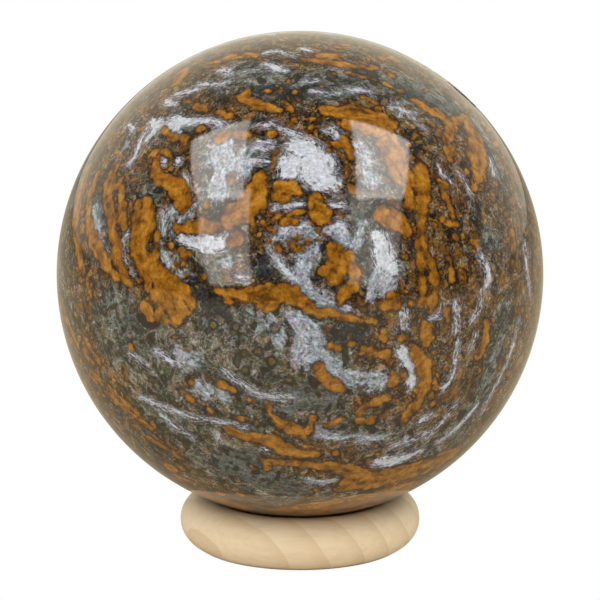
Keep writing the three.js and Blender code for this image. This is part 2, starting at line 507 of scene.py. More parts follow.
white_veins = (
    ((0, 41, 3.2), (3, 40, 3.2), (4.5, 36.5, 4.6), (5, 34.5, 4.0), (8.5, 32.5, 2.0)),
    ((-2.5, 37, 3.2), (-3, 34.8, 2.0)),
    ((-29.5, 19, 0.7), (-26.5, 18.3, 1.5), (-22, 17.8, 2.0), (-18.5, 17.8, 1.6), (-17, 19.8, 0.9)),
    ((-56, 44.5, 1.0), (-50.5, 44, 1.8), (-45, 45.5, 2.2), (-42, 46, 1.6), (-36, 47, 1.0),
     (-30, 47.5, 0.8), (-26, 46.5, 0.8)),
    ((-43, 44.5, 1.6), (-40.5, 42, 0.8)),
    ((-52, 45, 1.2), (-51, 42, 1.1), (-52, 39.5, 0.6)),
    ((18.7, 20, 1.5), (19.2, 17, 2.4), (19.7, 14.3, 2.8), (21.5, 12.6, 1.6)),
    ((-5.3, 19.8, 0.4), (-3.7, 21.4, 0.5), (-1.2, 22.7, 0.6), (1.6, 22.6, 0.6)),
    ((6.4, 22.2, 0.5), (8.8, 23, 0.9), (10.5, 22, 0.8)),
    ((8.5, 20.3, 0.4), (10.8, 19.3, 0.4)),
    ((-6.8, 17.5, 0.35), (-5.5, 15.5, 0.5), (-4, 13.5, 0.6), (-2.2, 11.8, 0.8), (-0.8, 10.8, 0.6)),
    ((-13.8, 10.8, 0.6), (-12.3, 10.7, 0.5)),
    ((-6, 26.8, 0.6), (-3, 27, 0.9), (0, 27.3, 0.7)),
    ((8, 27.5, 0.7), (10, 27.5, 0.9)),
    ((8.5, 46.5, 0.9), (11, 45, 1.2), (12, 43, 1.0)),
    ((-14, 46.5, 0.4), (-10, 47.3, 0.6), (-6.5, 46.5, 0.6), (-3, 45.2, 0.7), (-0.5, 44.4, 0.7)),
    ((-13.5, 41, 0.6), (-8, 40.8, 0.8)),
    ((-15, 37.5, 0.6), (-11, 37.8, 0.8), (-8, 37.5, 0.5)),
    ((-13, 42.5, 0.5), (-9, 42.3, 0.6)),
    ((23, -6, 1.3), (25, -9, 1.6), (26.5, -12, 1.5), (26.5, -15, 1.0)),
    ((23.5, 2.5, 0.9), (23.8, -1, 0.7)),
    ((37.3, 3, 0.7), (37.5, 0, 0.5), (37.4, -3, 0.7)),
    ((33.7, 3, 0.4), (33, 1, 0.5), (30.5, 0.6, 0.4)),
    ((38, -6, 0.6), (38, -9.5, 0.4), (38.2, -13, 0.45), (37.5, -15.5, 0.5), (35.5, -17, 0.6)),
    ((46, 12.5, 0.6), (48, 10, 0.9), (48.4, 8, 0.9), (47.3, 5.8, 0.8)),
    ((45.3, 4.8, 0.35), (45, 2, 0.4), (43, -0.5, 0.35), (41.8, -1.7, 0.3)),
    ((43.5, -5, 0.4), (42.5, -8, 0.4)),
    ((61, -5, 0.5), (59.5, -11, 0.6), (57.5, -17, 0.5), (55, -22.5, 0.5), (54.5, -27, 0.35)),
    ((66.5, 12, 0.7), (65.5, 8, 0.9), (66, 4, 0.6), (67, 0, 0.5)),
    ((42, -21.5, 0.35), (39, -26, 0.5), (35.5, -30.5, 0.4)),
    ((50, -24, 0.6), (47.8, -27.5, 0.9), (44.7, -30.5, 0.7), (40.5, -33, 0.5)),
    ((25, -32, 0.45), (29, -31, 0.5), (33, -29.5, 0.5), (36, -28.5, 0.4)),
    ((23, -37, 1.8), (27, -37, 2.0), (31, -36.3, 1.5), (35.5, -35, 0.9)),
    ((31.5, -25, 0.7), (33.5, -24, 0.7)),
    ((-17.5, -10.5, 0.4), (-13, -13.5, 0.6), (-10, -15.3, 0.45), (-6, -15.9, 0.5), (-1.5, -16.3, 0.4)),
    ((-11, -15.2, 0.3), (-7, -16.6, 0.35), (-3.5, -17.6, 0.4)),
    ((-42, -20.2, 0.4), (-37, -21.4, 0.5), (-31, -22.5, 0.55), (-26.5, -23.5, 0.6), (-20, -24, 0.5),
     (-13, -25, 0.45)),
    ((-34.3, -7.5, 0.5), (-31.5, -8.8, 0.8), (-29, -9.6, 0.5), (-26.5, -10.6, 0.45)),
    ((-42.5, -9.3, 0.35), (-40, -10.2, 0.5), (-37.5, -11.5, 0.4)),
    ((-36.5, -24, 0.5), (-33, -27, 0.5), (-29, -29.5, 0.4)),
    ((-21.5, -27.5, 0.5), (-21, -29.5, 0.5)),
    ((-9, -31.3, 0.8),),
    ((-55, 43, 0.6), (-54.5, 39, 0.8), (-53, 36, 0.8), (-53.5, 33.5, 0.5)),
    ((-67, 42, 0.9), (-62, 41.5, 1.0)),
    ((-36, 36, 1.0),),
    ((-40.5, 35.5, 0.7),),
    ((-32, 32.8, 0.5), (-30, 30.5, 0.6), (-29.5, 28.3, 0.5)),
    ((-27, 26.5, 0.4), (-28, 24.7, 0.6), (-30.5, 22.4, 0.5), (-31.5, 20.3, 0.5)),
    ((-31, 25.5, 0.3), (-33.3, 24.3, 0.5), (-34.3, 21.8, 0.4), (-34.6, 19, 0.3)),
    ((-32, 14.2, 0.4), (-31, 12.8, 0.4)),
    ((-59.5, 18.8, 0.4), (-57, 16.7, 0.5), (-54.5, 14.9, 0.5), (-51.5, 13, 0.4)),
    ((-44.7, 18, 0.4), (-46.5, 16, 0.5), (-45.6, 14, 0.6), (-44.3, 12, 0.5), (-42.3, 10.6, 0.4)),
    ((-43.3, 8.9, 0.25), (-40.8, 8.8, 0.3)),
    ((-21, 67.5, 0.7), (-16, 67, 1.1), (-12, 65.5, 1.0), (-8, 65, 0.6)),
    ((-30, 72.5, 0.6), (-20, 74.2, 0.9), (-12, 73.4, 0.6), (-3, 71.8, 0.5)),
    ((-46, 63.6, 0.7), (-41, 63.4, 0.9), (-36.5, 62.8, 0.6)),
    ((-30, 64, 0.4), (-25, 65, 0.4)),
    ((2, 61, 0.35), (8, 61.3, 0.3)),
    ((5, 57.6, 0.4), (12, 56.6, 0.45), (16, 56.3, 0.35)),
    ((-50, 57.5, 0.4), (-44, 58, 0.6), (-38, 58.6, 0.6), (-33, 60, 0.4)),
    ((-56, 53, 0.7), (-51, 54.5, 0.9), (-47, 56, 0.6)),
    ((-57, 50.5, 1.0), (-51, 50.5, 0.8)),
    ((21, 57.5, 0.6), (25.5, 57.4, 0.8), (29, 56.4, 0.4)),
    ((34.5, 51.2, 0.5), (37.5, 50.2, 0.8), (40, 49, 0.6)),
    ((36, 48.5, 0.3), (38.5, 50, 0.6), (41.5, 46, 0.35), (42.7, 44, 0.3)),
    ((39, 52, 0.3), (38.3, 49.8, 0.5), (42.5, 48.8, 0.3)),
    ((4, 76, 1.0), (9, 75, 0.9)),
    ((41, 34, 0.35), (41, 32.3, 0.45), (43, 30, 0.35)),
    ((46.8, 32.2, 0.35), (48, 29.7, 0.4), (48.6, 26.5, 0.35)),
    ((72, 43, 0.5), (71.5, 40, 0.5), (71, 37.5, 0.4)),
    ((64.3, 33, 0.7), (63, 31, 0.6), (61.8, 29.3, 0.5)),
)

ochre_gaps = (
    ((-37, 18.3, 0.4), (-37.2, 16.5, 0.7), (-37.8, 15.2, 0.7)),
    ((-35.2, 8, 0.3), (-35, 7, 0.4)),
    ((-29.5, 5.2, 0.3), (-26.8, 4.9, 0.35), (-25.3, 3.3, 0.3)),
    ((-34.6, 2.2, 0.35), (-34.2, 0.8, 0.35)),
    ((-31.8, 2.5, 0.25), (-30.5, 0.5, 0.25)),
)

milky_veins = (
    ((-1, 2.5, 1.8), (1.5, -0.5, 3.0), (2, -4.5, 3.5), (0.5, -7, 2.5)),
    ((3, -6, 2.5), (5, -7.5, 2.2), (8, -9.5, 2.0), (11, -11.5, 2.2), (15, -13, 2.6), (18, -13, 2.0)),
    ((-23.5, -15, 1.5), (-22, -16.5, 1.2)),
    ((-18, -16.5, 1.2),),
    ((5, -26.5, 0.8), (10, -27.3, 1.0), (16, -28, 0.8), (22, -28.8, 0.6)),
    ((29, -30.5, 1.0),),
    ((21, 9.5, 1.3), (19, 7.5, 1.3)),
    ((20, 13, 1.8), (17.5, 10.5, 1.6), (16, 7, 1.2)),
    ((2.6, 20.5, 1.3), (1.6, 16.5, 1.8), (0.8, 13.5, 2.0), (0.5, 11, 1.6), (1.5, 8.5, 1.5),
     (4, 6.5, 1.4), (7, 5.2, 1.3), (9.5, 4.5, 0.8)),
    ((-5, 20, 0.7), (-3.6, 21.4, 0.9), (-1.2, 22.5, 1.0), (1.5, 22.2, 1.2), (2.8, 20.5, 1.2)),
    ((-5.5, 15, 0.6), (-4, 13.2, 0.9), (-2, 11.8, 0.9)),
    ((7, 21.5, 1.0), (9, 22, 1.6), (10, 20, 1.5), (9.5, 18.5, 0.8)),
    ((-32.5, 25, 0.4), (-34.2, 22, 0.6), (-34.6, 18.5, 0.6), (-34, 15.8, 0.5), (-31.7, 13, 0.6),
     (-28.5, 11.2, 0.5), (-25.5, 10.4, 0.4)),
    ((-61, 21.5, 0.8), (-58, 18.5, 1.0), (-54.5, 15, 0.7)),
    ((12, 17, 0.9), (14, 20, 0.9), (15, 23, 0.7)),
    ((-60.5, 37.5, 0.4), (-59.5, 33.5, 0.4)),
    ((31, -50.5, 1.0), (36, -49.5, 0.9)),
    ((3, -42.5, 0.6), (7, -43, 0.8), (11, -42.5, 0.6)),
    ((-7, 3, 1.2), (-6, 0.5, 1.4), (-4, -2.5, 1.2)),
    ((-24, 43, 2.0), (-23, 39, 3.0), (-20.5, 35, 3.0), (-21.5, 30.5, 2.6)),
    ((-16, 40, 1.2), (-15.5, 35, 1.4)),
    ((18.5, 41, 1.2), (19.3, 37, 1.6), (19.5, 33, 1.4)),
    ((-17, 14, 0.6), (-14, 15, 0.6)),
    ((-24, -8, 1.2), (-28, -7.5, 1.2)),
)

dark_veins = (
    ((0.5, 29, 1.4), (1, 26.5, 1.4)),
    ((-7.5, 14.5, 2.2), (-8.5, 12, 2.0)),
    ((-24.5, 9.5, 1.2), (-21, 6.5, 2.2), (-18, 3.5, 1.8), (-16, 1.5, 1.0)),
    ((7.5, -0.5, 1.0), (11, -0.8, 1.4), (15, -0.5, 1.0)),
    ((8, -2.5, 0.8), (14, -3, 0.8)),
    ((33.5, 42, 1.6), (34, 39.5, 1.6)),
    ((-18, 58, 1.6), (-10, 57.5, 2.0), (-3, 56, 1.8), (5, 58, 2.0), (10, 57, 1.6)),
    ((26.8, 19, 0.8), (26.3, 15, 0.8)),
    ((-16, 48.8, 1.2), (-11, 48.3, 1.2)),
    ((60, 43, 1.6),),
    ((54.7, 36.5, 1.2),),
    ((-34.5, 2.5, 0.6),),
    ((-16, -22.5, 0.8), (-8, -24, 0.8)),
)

clear_veins = (
    ((44, 57, 2.5), (52, 54.5, 3.5), (60, 51, 3.5), (66, 47, 2.5)),
    ((-16, -11.5, 1.5), (-8, -17, 2.5), (-2, -17, 3.4), (3, -16, 3.4), (7, -17.5, 2.6)),
    ((-18, -38, 5.0), (-10, -42, 4.0), (-4, -46, 3.0), (-14, -32, 2.5)),
    ((-63, 25, 1.5), (-60, 22, 2.5), (-56, 19.5, 2.5), (-53, 17, 1.2)),
    ((-28, -8, 1.6), (-23, -9.5, 2.0)),
    ((13, 28, 2.0), (15.5, 24, 2.4)),
)

grey_ground = (
    ((-48, -4, 8), (-32, -10, 12), (-14, -8, 12), (2, -12, 12)),
    ((-36, -24, 8), (-20, -20, 8), (-5, -20, 8)),
    ((-22, -36, 10), (-6, -45, 8)),
    ((8, -24, 5), (20, -27, 5), (30, -32, 5)),
    ((-34, 62, 7), (-12, 61, 7), (10, 60, 7), (28, 61, 7), (46, 56, 8), (62, 49, 7)),
    ((-10, 38, 6), (4, 36, 6)),
    ((-32, 22, 5), (-22, 14, 6)),
    ((16, 28, 5), (18, 14, 6), (0, 14, 5)),
    ((-58, 20, 4),),
    ((-41, 28, 4),),
    ((-48, 44, 5), (-40, 44, 4)),
    ((12, -3, 4),),
    ((50.5, 15, 3),),
    ((-80, 25, 4), (-77, 10, 5), (-71, 0, 5), (-69, -8, 4)),
    ((-47, 1, 6), (-41, -2, 4)),
    ((-24, 42, 6), (-20, 34, 6), (-22, 28, 4)),
    ((-7, 1, 6), (0, 0, 5)),
    ((21, 39, 4), (22, 33, 5)),
    ((27, 28, 1.5), (26.8, 24, 1.5)),
    ((53, -2, 3.5), (51, -14, 3.5), (49, -24, 4), (44, -33, 6), (34, -36, 5)),
    ((66, 35, 2.5), (64, 28, 2.5)),
    ((-24, 8, 3), (-19, 2, 4)),
    ((-8, 13, 2.5),),
    ((10, -48, 4), (24, -50, 3)),
    ((110, 20, 9), (130, 32, 9), (150, 8, 10)),
    ((170, -10, 12), (150, -28, 9)),
    ((190, 32, 8), (216, 20, 9), (232, 0, 8)),
    ((210, -20, 9), (240, -30, 8)),
    ((252, 16, 7), (246, 50, 8)),
    ((120, -25, 9), (100, -15, 7)),
)

slate_ground = (
    ((-44, 28, 5), (-37, 27, 3)),
    ((-62, 24, 4), (-57, 18, 4)),
    ((-30, 60, 7), (0, 59, 8), (30, 58, 7), (52, 54, 7), (66, 47, 6)),
    ((-50, 3, 6), (-42, -2, 5)),
    ((-22, 5, 4), (-17, 1, 4), (0, 1, 5), (14, -3, 4)),
    ((-14, 47, 4), (-12, 40, 4)),
    ((-8, 13, 4),),
    ((52, 16, 4), (47, 8, 4)),
    ((53, -2, 5), (50, -20, 5)),
    ((66, 38, 4), (62, 28, 4)),
    ((-38, 50, 4), (-48, 49, 4)),
    ((150, 10, 12), (200, 30, 12), (250, 10, 12), (110, -25, 12)),
)

eyes = (
    ((-19.5, 0, 1.4),), ((-14.3, 0, 1.3),), ((-5.5, 0, 1.4),), ((-12.5, -6, 1.2),),
     ((-9.3, -5.3, 1.3),),
    ((-12.3, -10, 1.3),), ((-2.5, -12, 1.4),), ((-6.3, -7.5, 1.5),), ((-32, -19, 1.2),),
     ((-33, -14, 1.1),),
    ((-26.3, -13.5, 1.0),), ((-37, -15, 1.2),), ((-21, 5, 1.0),), ((6.5, 50, 1.2),),
     ((10.3, 47.7, 1.4),),
)


def course(vein):
    """A vein's middle line as close places on the ball in mm, with the half width at each."""
    stops = np.array(vein, float)
    knots = facing_out(stops[:, 0], stops[:, 1])
    widths = stops[:, 2]
    if len(stops) == 1:
        return knots * radius_mm, widths
    padded = np.vstack([2 * knots[0] - knots[1], knots, 2 * knots[-1] - knots[-2]])
    line, wide = [], []
    for i in range(len(knots) - 1):
        a, b, c, d = padded[i:i + 4]
        pieces = max(2, int(np.linalg.norm(c - b) * radius_mm / vein_step))
        t = np.linspace(0, 1, pieces, endpoint=False)[:, None]
        line.append(b + 0.5 * t * (c - a + t * (2 * a - 5 * b + 4 * c - d + t * (3 * b - a - 3 * c + d))))
        wide.append(widths[i] + (widths[i + 1] - widths[i]) * t[:, 0])
    line = np.vstack([*line, knots[-1:]])
    line = line / np.linalg.norm(line, axis=1, keepdims=True) * radius_mm
    return line, np.append(np.concatenate(wide), widths[-1])


def lay_veins(veins, reach=6.0):
    """How deep each place lies inside the nearest vein in mm, down to -reach; its grain there, as
    mm along the vein (drawn out), mm across it and a number for the vein; and its half width."""
    depth = np.full(len(skin), -reach)
    width = np.zeros(len(skin))
    grain = np.zeros((len(skin), 3))
    for number, vein in enumerate(veins):
        line, wide = course(vein)
        centre = line.mean(axis=0)
        span = np.linalg.norm(line - centre, axis=1).max() + wide.max() + reach
        near = np.flatnonzero(np.linalg.norm(skin * radius_mm - centre, axis=1) < span)
        offset = skin[near, None] * radius_mm - line[None]
        inside = wide - np.linalg.norm(offset, axis=2)
        stop = inside.argmax(axis=1)
        each = np.arange(len(near))
        if len(line) == 1:
            onward = np.cross(line, [0, 0, 1.0])
        else:
            onward = np.gradient(line, axis=0)
        onward = onward / np.linalg.norm(onward, axis=1, keepdims=True)
        sideways = np.cross(line / radius_mm, onward)
        run = np.append(0, np.cumsum(np.linalg.norm(np.diff(line, axis=0), axis=1)))
        along = run[stop] + (offset[each, stop] * onward[stop]).sum(axis=1)
        across = (offset[each, stop] * sideways[stop]).sum(axis=1)
        better = inside[each, stop] > depth[near]
        chosen = near[better]
        depth[chosen] = inside[each, stop][better]
        width[chosen] = wide[stop][better]
        layer = np.full(len(along), number * grain_apart)
        grain[chosen] = np.stack([along / grain_stretch, across, layer], 1)[better]
    return depth, grain, width


heart = facing_out(*swirl_heart)
heart_side = np.cross(heart, [0, 0, 1.0])
heart_side = heart_side / np.linalg.norm(heart_side)
heart_up = np.cross(heart_side, heart)
from_heart = np.arccos(np.clip(skin @ heart, -1, 1)) * radius_mm
side, up = skin @ heart_side * radius_mm, skin @ heart_up * radius_mm
round_heart = np.hypot(side, up) + 1e-6
drawn = swirl_stretch * np.tanh(round_heart / swirl_stretch)
swirl = (heart_side * (side / round_heart * drawn)[:, None]
         + heart_up * (up / round_heart * drawn)[:, None]
         + heart * from_heart[:, None])


def keep_on_skin(name, values):
    """Stores one value, or one vector, for each point of the ball's skin, for its material."""
    kind = "FLOAT" if values.ndim == 1 else "FLOAT_VECTOR"
    layer = ball_mesh.attributes.new(name, kind, "POINT")
    layer.data.foreach_set("value" if values.ndim == 1 else "vector", values.astype(np.float32).ravel())


for mineral_name, veins in (("ochre", ochre_veins), ("white", white_veins), ("dark", dark_veins),
                            ("milky", milky_veins), ("clear", clear_veins), ("grey", grey_ground),
                            ("eyes", eyes), ("slate", slate_ground)):
    depth, grain, width = lay_veins(veins)
    if mineral_name == "ochre":
        depth = np.minimum(depth, -2 * lay_veins(ochre_gaps)[0])
    keep_on_skin(mineral_name, depth)
    if mineral_name in ("ochre", "white", "milky"):
        keep_on_skin(mineral_name + "_grain", grain)
    if mineral_name == "white":
        keep_on_skin("white_width", width)
keep_on_skin("swirl", swirl)
keep_on_skin("behind", surface[:, 1])
keep_on_skin("vug", dull)


# ---- The stone ball: its polished surface ----------------------------------------------------
# Each mineral has its own colour and habit: ochre grows in lumps with dark rinds, white in
# fibres, clear grey in smooth pools, and small orbs in the fine, mossy ground.
tent_brightness = 1.9
lump_size = 2.6


def tint(red, green, blue):
    """A colour given in screen values from 0 to 255, as the linear colour a shader takes."""
    values = []
    for value in (red, green, blue):
        value = value / 255
        values.append(value / 12.92 if value <= 0.04045 else ((value + 0.055) / 1.055) ** 2.4)
    return (*values, 1.0)


def mineral(red, green, blue):
    """A mineral's colour, given as it looks in the bright tent and taken down to its own."""
    return (*(value / tent_brightness for value in tint(red, green, blue)[:3]), 1.0)


def less(first, second):
    """One value less another."""
    return calc("SUBTRACT", first, second)


def swing(value, amount):
    """A noise of 0 to 1 turned into a swing of minus to plus half the amount."""
    return times(less(value, 0.5), amount)


def total(*values):
    """The sum of several values."""
    whole = values[0]
    for value in values[1:]:
        whole = calc("ADD", whole, value)
    return whole


def both(first, second, share=0.5):
    """Two noises in one, with this share of the first."""
    return total(times(first, share), times(second, 1 - share))


def line_in(noise, middle=0.5):
    """How far a noise is from its middle value, which is least along thin winding lines."""
    return calc("ABSOLUTE", less(noise, middle))


def place_in_mm():
    """Each point's own place on the object in mm."""
    scaled = node("ShaderNodeVectorMath", operation="SCALE")
    feed(scaled.inputs[0], node("ShaderNodeTexCoord").outputs["Object"])
    feed(scaled.inputs["Scale"], 1 / MM)
    return scaled.outputs[0]


def shift(base, offset, amount):
    """Moves a place by a noise colour centred on grey, in mm."""
    centred = node("ShaderNodeVectorMath", operation="SUBTRACT")
    feed(centred.inputs[0], offset)
    feed(centred.inputs[1], (0.5, 0.5, 0.5))
    scaled = node("ShaderNodeVectorMath", operation="SCALE")
    feed(scaled.inputs[0], centred.outputs[0])
    feed(scaled.inputs["Scale"], amount)
    moved = node("ShaderNodeVectorMath", operation="ADD")
    feed(moved.inputs[0], base)
    feed(moved.inputs[1], scaled.outputs[0])
    return moved.outputs[0]


def between(first, second, share):
    """A place between two places."""
    made = node("ShaderNodeMix", data_type="VECTOR")
    feed(made.inputs[0], share)
    feed(made.inputs[4], first)
    feed(made.inputs[5], second)
    return made.outputs[1]


def cloud(place, size, detail=4.0, rough=0.55, twist=0.0, output="Fac"):
    """Cloudy noise whose largest lumps are about this size in mm."""
    made = node("ShaderNodeTexNoise")
    feed(made.inputs["Vector"], place)
    feed(made.inputs["Scale"], 1 / size)
    feed(made.inputs["Detail"], detail)
    feed(made.inputs["Roughness"], rough)
    feed(made.inputs["Distortion"], twist)
    return made.outputs[output]


def cells(place, size, feature="F1"):
    """Rounded cells of about this size in mm; their distances are in cell sizes."""
    made = node("ShaderNodeTexVoronoi", feature=feature)
    feed(made.inputs["Vector"], place)
    feed(made.inputs["Scale"], 1 / size)
    return made.outputs


def shades(value, *stops, colour_of=mineral):
    """A run of colours; each stop is a place from 0 to 1 and its red, green and blue."""
    made = node("ShaderNodeValToRGB")
    feed(made.inputs[0], value)
    elements = made.color_ramp.elements
    while len(elements) < len(stops):
        elements.new(0.5)
    for element, (position, *colour) in zip(elements, stops):
        element.position = position
        element.color = colour_of(*colour)
    return made.outputs[0]


def on_skin(name, vector=False):
    """Reads what keep_on_skin stored."""
    made = node("ShaderNodeAttribute", attribute_name=name)
    return made.outputs["Vector" if vector else "Fac"]


def orbs(place, size, share, small, large):
    """Scattered round orbs: how far inside one a place is, in cell sizes, and a random value."""
    grown = cells(place, size)
    picks = node("ShaderNodeSeparateColor")
    feed(picks.inputs[0], grown["Color"])
    present = calc("LESS_THAN", picks.outputs[0], share)
    size_of_each = ease(picks.outputs[1], 0.0, 1.0, small, large)
    inside = less(size_of_each, grown["Distance"])
    inside = less(times(total(inside, 1.0), present), 1.0)
    return inside, picks.outputs[2]


stone = bare_material("polished_orb_stone")
tree = stone.node_tree
place = place_in_mm()
broad = cloud(place, 9.0, 2.0, output="Color")
flow = shift(on_skin("swirl", vector=True), broad, 5.0)
calm_place = shift(place, broad, 4.0)
curly = shift(calm_place, cloud(calm_place, 3.0, 3.0, 0.6, output="Color"), 4.0)
fray = cloud(curly, 1.3, 5.0, 0.68)
crumbs = cloud(place, 0.55, 3.0, 0.6)
patch = cloud(calm_place, 6.0, 3.0)
wobble = cloud(calm_place, 1.8, 2.0, 0.5)
blotch = cloud(curly, 2.4, 5.0, 0.64)
streaks = cloud(flow, 2.6, 4.0, 0.6)
folds = cloud(calm_place, 4.2, 3.0, 0.6)
kept_off_front = ease(on_skin("behind"), -12.0, 4.0, 6.0, 0.0)

# dark mossy ground: brown where rust soaked in, grey elsewhere
mosaic = node("ShaderNodeSeparateColor")
feed(mosaic.inputs[0], cells(curly, 0.9)["Color"])
tone = total(times(blotch, 0.40), times(streaks, 0.30), times(crumbs, 0.30),
             swing(mosaic.outputs[0], 0.08), swing(folds, 0.40))
rusty = ease(total(on_skin("grey"), swing(patch, 9.0), swing(wobble, 7.0)), 1.8, -1.8)
grey_ground_colour = shades(tone, (0.36, 24, 24, 20), (0.44, 54, 52, 42), (0.50, 84, 80, 65),
                            (0.56, 116, 112, 94), (0.62, 150, 149, 136), (0.68, 172, 172, 166))
tan_patch = ease(cloud(calm_place, 4.0, 3.0, 0.55), 0.52, 0.64, 0.0, 0.7)
grey_ground_colour = dye(tan_patch, grey_ground_colour, mineral(134, 114, 84))
brown_ground_colour = shades(tone, (0.38, 20, 15, 10), (0.45, 48, 35, 20), (0.50, 84, 62, 35),
                             (0.55, 114, 86, 48), (0.62, 160, 138, 100))
ground = dye(rusty, grey_ground_colour, brown_ground_colour)
bloom_noise = total(cloud(curly, 2.2, 2.5, 0.5), swing(patch, 0.12), swing(streaks, 0.25))
bloom = times(rusty, ease(bloom_noise, 0.53, 0.62))
bloom_colour = shades(wobble, (0.3, 100, 66, 30), (0.5, 138, 92, 34), (0.7, 172, 116, 42))
ground = dye(times(bloom, 0.8), ground, bloom_colour)

# bluer slate areas, a pale lace over all of it, and darker patches
slate = ease(total(on_skin("slate"), swing(patch, 8.0), swing(wobble, 5.0)), -1.0, 2.0)
ground = dye(slate, ground, (0.84, 0.98, 1.20, 1), "MULTIPLY")
lace = times(ease(line_in(cloud(curly, 2.2, 4.0, 0.6)), 0.035, 0.0),
             ease(cloud(calm_place, 4.0, 3.0), 0.38, 0.56))
lace = times(lace, ease(rusty, 0.0, 1.0, 0.55, 0.5))
ground = dye(lace, ground, mineral(176, 180, 182))
dark = ease(total(on_skin("dark"), swing(blotch, 8.0)), -0.5, 0.5)
ground = dye(times(dark, 0.85), ground, mineral(36, 40, 47))

# clear grey pools
clear = ease(total(on_skin("clear"), swing(blotch, 9.0)), -0.6, 0.9)
pool = shades(total(cloud(flow, 4.0, 5.0, 0.5), swing(crumbs, 0.35)),
              (0.36, 58, 65, 64), (0.62, 112, 118, 114))
colour = dye(times(clear, 0.75), ground, pool)

# small orbs, each with a dark rind: dull red-brown to orange in the brown ground, dark in the grey
orb_kinds = (
    {"size": 1.2, "in_grey": 0.30, "in_rust": 0.40, "rind": 0.55},
    {"size": 1.9, "in_grey": 0.28, "in_rust": 0.42, "rind": 0.85},
    {"size": 2.8, "in_grey": 0.10, "in_rust": 0.26, "rind": 0.9},
)
near_ochre = ease(on_skin("ochre"), -3.0, -0.3, 0.0, 0.3)
orb_place = between(calm_place, flow, 0.3)
for kind in orb_kinds:
    share = total(ease(rusty, 0.0, 1.0, kind["in_grey"], kind["in_rust"]), near_ochre)
    orb, orb_pick = orbs(orb_place, kind["size"], share, 0.22, 0.44)
    orb = total(orb, swing(wobble, 0.8))
    pick = total(orb_pick, swing(crumbs, 0.4))
    dark_orb = shades(pick, (0.0, 34, 34, 32), (0.5, 62, 60, 46), (0.8, 92, 90, 78),
                      (0.92, 150, 96, 26), (1.0, 176, 112, 28))
    rust_orb = shades(pick, (0.0, 100, 58, 22), (0.3, 132, 88, 28), (0.6, 168, 106, 22),
                      (0.85, 198, 130, 36), (1.0, 124, 110, 50))
    colour = dye(ease(orb, -0.16, -0.02, 0.0, kind["rind"]), colour, mineral(34, 28, 20))
    colour = dye(ease(orb, -0.05, 0.22, 0.0, 0.9), colour, dye(rusty, dark_orb, rust_orb))

# milky chalcedony: thin enough for the ground to show through it
milk_grain = on_skin("milky_grain", vector=True)
milk_noise = both(cloud(milk_grain, 1.6, 5.0, 0.65), cloud(curly, 2.0, 5.0, 0.65))
milk_depth = total(0.4, on_skin("milky"), swing(milk_noise, 10.0), swing(folds, 4.0))
milk_colour = shades(both(cloud(milk_grain, 0.9, 4.0, 0.6), fray, 0.55),
                     (0.36, 96, 104, 108), (0.45, 144, 152, 160), (0.54, 182, 189, 200),
                     (0.66, 216, 220, 228))
colour = dye(ease(milk_depth, -0.6, 0.9, 0.0, 0.92), colour, milk_colour)

# round eyes: a dark ring with an olive middle
eye = total(on_skin("eyes"), swing(wobble, 1.2))
colour = dye(ease(eye, -0.3, 0.2, 0.0, 0.85), colour, mineral(46, 44, 34))
colour = dye(ease(eye, 0.5, 0.9, 0.0, 0.8), colour, mineral(126, 104, 50))

# white chalcedony: dense in the broad veins, loose strands in the thin ones, in a lilac haze, and
# wisps that noise lays out on the back
white_grain = on_skin("white_grain", vector=True)
wisps = total(0.5, times(line_in(cloud(flow, 11.0, 3.0, 0.5), 0.46), -50.0), swing(folds, 12.0))
white_near = calc("MAXIMUM", on_skin("white"), less(wisps, kept_off_front))
fibre = both(cloud(white_grain, 1.2, 5.0, 0.65), cloud(curly, 1.7, 6.0, 0.72, 0.5))
fibre_reach = total(times(on_skin("white_width"), 4.0), 2.0)
white_depth = total(white_near, times(less(fibre, 0.53), fibre_reach))
strands = times(ease(line_in(cloud(white_grain, 0.9, 3.0, 0.55)), 0.05, 0.01),
                ease(white_near, -1.3, 0.2, 0.0, 0.8))
white = calc("MAXIMUM", ease(white_depth, -0.05, 0.4), strands)
silk = shades(both(cloud(white_grain, 0.8, 4.0, 0.6), fray, 0.4),
              (0.36, 120, 124, 132), (0.42, 186, 190, 198), (0.50, 214, 219, 228), (0.60, 228, 233, 242))
silk = dye(ease(white_depth, 0.8, 2.6, 0.0, 0.75), silk, mineral(214, 219, 229))
haze = times(ease(total(white_near, swing(blotch, 5.0)), -1.4, 0.2, 0.0, 0.5),
             ease(blotch, 0.35, 0.6, 0.4, 1.0))
colour = dye(haze, colour, mineral(118, 117, 130))
colour = dye(white, colour, silk)

# ochre jasper: lumpy, frayed, darker at its edges, in a thin dark rind; noise lays out the back's
ochre_grain = on_skin("ochre_grain", vector=True)
lumps = cells(calm_place, lump_size)["Distance"]
bumpy = times(less(0.47, lumps), 1.5)
wild_ochre = total(1.4, times(line_in(cloud(flow, 15.0, 3.0, 0.5)), -55.0), swing(patch, 9.0))
ochre_near = calc("MAXIMUM", on_skin("ochre"), less(wild_ochre, kept_off_front))
ochre_depth = total(ochre_near, bumpy, swing(wobble, 1.2), swing(fray, 1.4))
ochre = ease(ochre_depth, -0.3, 0.3)
rind = times(ease(ochre_depth, -1.0, -0.1), ease(blotch, 0.4, 0.6, 0.9, 0.5))
body = total(both(cloud(ochre_grain, 2.0, 2.0, 0.5), cloud(curly, 2.4, 3.0, 0.55), 0.4), swing(lumps, -0.10))
jasper = shades(body, (0.36, 92, 56, 20), (0.43, 138, 88, 22), (0.51, 168, 110, 27), (0.62, 194, 136, 48))
jasper = dye(ease(ochre_depth, 0.0, 0.6, 0.7, 0.0), jasper, mineral(112, 68, 20))
joints = cells(calm_place, lump_size, "DISTANCE_TO_EDGE")["Distance"]
